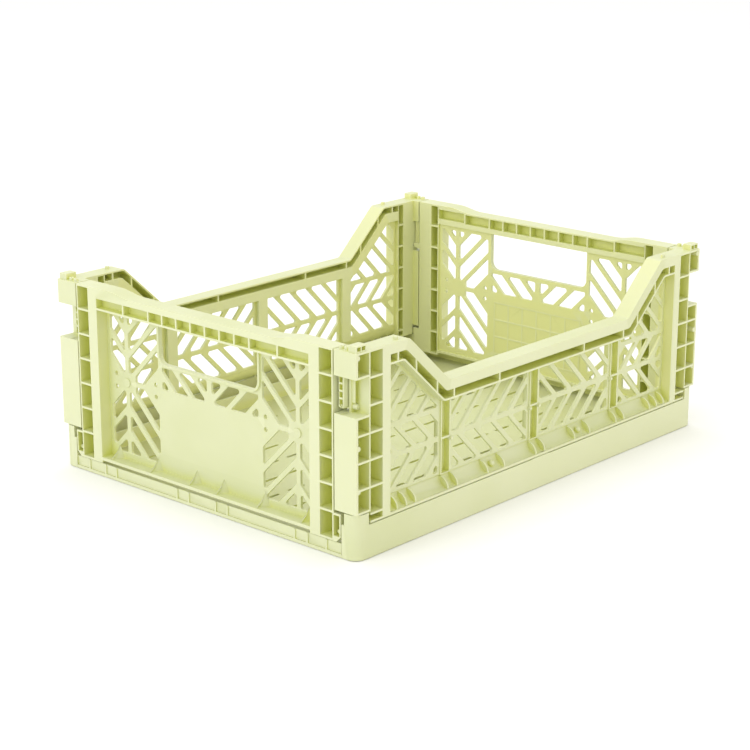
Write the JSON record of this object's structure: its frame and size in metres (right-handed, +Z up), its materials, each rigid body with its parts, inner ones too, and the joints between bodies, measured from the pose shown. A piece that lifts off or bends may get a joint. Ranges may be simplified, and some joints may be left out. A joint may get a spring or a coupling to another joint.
{
  "type": "folding storage crate",
  "caption": "Open folding storage crate in moulded plastic: a base with four hinged, ribbed, pierced walls, grip holes in the ends and a lowered rim along both sides.",
  "frame": {"origin": "middle of the footprint, on the surface the crate stands on", "axes": "+X along the long side, +Y along the short side, +Z up"},
  "size_m": [0.4, 0.3, 0.1495],
  "materials": {
    "moulded_polypropylene": "satin moulded polypropylene, pale lime"
  },
  "bodies": {
    "base": {"base_floor": "moulded_polypropylene", "base_front_skirt": "moulded_polypropylene", "base_back_skirt": "moulded_polypropylene", "base_left_skirt": "moulded_polypropylene", "base_right_skirt": "moulded_polypropylene", "base_front_left_post": "moulded_polypropylene", "base_back_left_post": "moulded_polypropylene", "base_front_right_post": "moulded_polypropylene", "base_back_right_post": "moulded_polypropylene"},
    "left_wall": {"left_wall_front_column": "moulded_polypropylene", "left_wall_back_column": "moulded_polypropylene", "left_wall_rail": "moulded_polypropylene", "left_wall_panel": "moulded_polypropylene", "left_wall_ledge": "moulded_polypropylene"},
    "right_wall": {"right_wall_front_column": "moulded_polypropylene", "right_wall_back_column": "moulded_polypropylene", "right_wall_rail": "moulded_polypropylene", "right_wall_panel": "moulded_polypropylene", "right_wall_ledge": "moulded_polypropylene"},
    "front_wall": {"front_wall_left_column": "moulded_polypropylene", "front_wall_left_rail": "moulded_polypropylene", "front_wall_left_panel": "moulded_polypropylene", "front_wall_right_column": "moulded_polypropylene", "front_wall_right_rail": "moulded_polypropylene", "front_wall_right_panel": "moulded_polypropylene", "front_wall_middle_rail": "moulded_polypropylene", "front_wall_middle_panel": "moulded_polypropylene", "front_wall_hinge_rail": "moulded_polypropylene"},
    "back_wall": {"back_wall_left_column": "moulded_polypropylene", "back_wall_left_rail": "moulded_polypropylene", "back_wall_left_panel": "moulded_polypropylene", "back_wall_right_column": "moulded_polypropylene", "back_wall_right_rail": "moulded_polypropylene", "back_wall_right_panel": "moulded_polypropylene", "back_wall_middle_rail": "moulded_polypropylene", "back_wall_middle_panel": "moulded_polypropylene", "back_wall_hinge_rail": "moulded_polypropylene"},
    "left_front_latch": {"left_front_latch_tongue": "moulded_polypropylene"},
    "left_back_latch": {"left_back_latch_tongue": "moulded_polypropylene"},
    "right_front_latch": {"right_front_latch_tongue": "moulded_polypropylene"},
    "right_back_latch": {"right_back_latch_tongue": "moulded_polypropylene"}
  },
  "joints": [
    {"name": "left_wall_fold", "type": "hinge", "parent": "base", "child": "left_wall", "pos_m": [-0.193, 0, 0.014], "axis": [0, 1, 0], "range_deg": [0, 90]},
    {"name": "right_wall_fold", "type": "hinge", "parent": "base", "child": "right_wall", "pos_m": [0.193, 0, 0.014], "axis": [0, -1, 0], "range_deg": [0, 90]},
    {"name": "front_wall_fold", "type": "hinge", "parent": "base", "child": "front_wall", "pos_m": [0, -0.143, 0.0285], "axis": [-1, 0, 0], "range_deg": [0, 0.35]},
    {"name": "back_wall_fold", "type": "hinge", "parent": "base", "child": "back_wall", "pos_m": [0, 0.143, 0.0285], "axis": [1, 0, 0], "range_deg": [0, 0.35]},
    {"name": "left_front_latch_press", "type": "hinge", "parent": "left_wall", "child": "left_front_latch", "pos_m": [-0.1925, -0.13315, 0.1057], "axis": [-1, 0, 0], "range_deg": [0, 4], "stiffness_Nm_per_rad": 0.05},
    {"name": "left_back_latch_press", "type": "hinge", "parent": "left_wall", "child": "left_back_latch", "pos_m": [-0.1925, 0.13315, 0.1057], "axis": [1, 0, 0], "range_deg": [0, 4], "stiffness_Nm_per_rad": 0.05},
    {"name": "right_front_latch_press", "type": "hinge", "parent": "right_wall", "child": "right_front_latch", "pos_m": [0.1925, -0.13315, 0.1057], "axis": [-1, 0, 0], "range_deg": [0, 4], "stiffness_Nm_per_rad": 0.05},
    {"name": "right_back_latch_press", "type": "hinge", "parent": "right_wall", "child": "right_back_latch", "pos_m": [0.1925, 0.13315, 0.1057], "axis": [1, 0, 0], "range_deg": [0, 4], "stiffness_Nm_per_rad": 0.05}
  ]
}
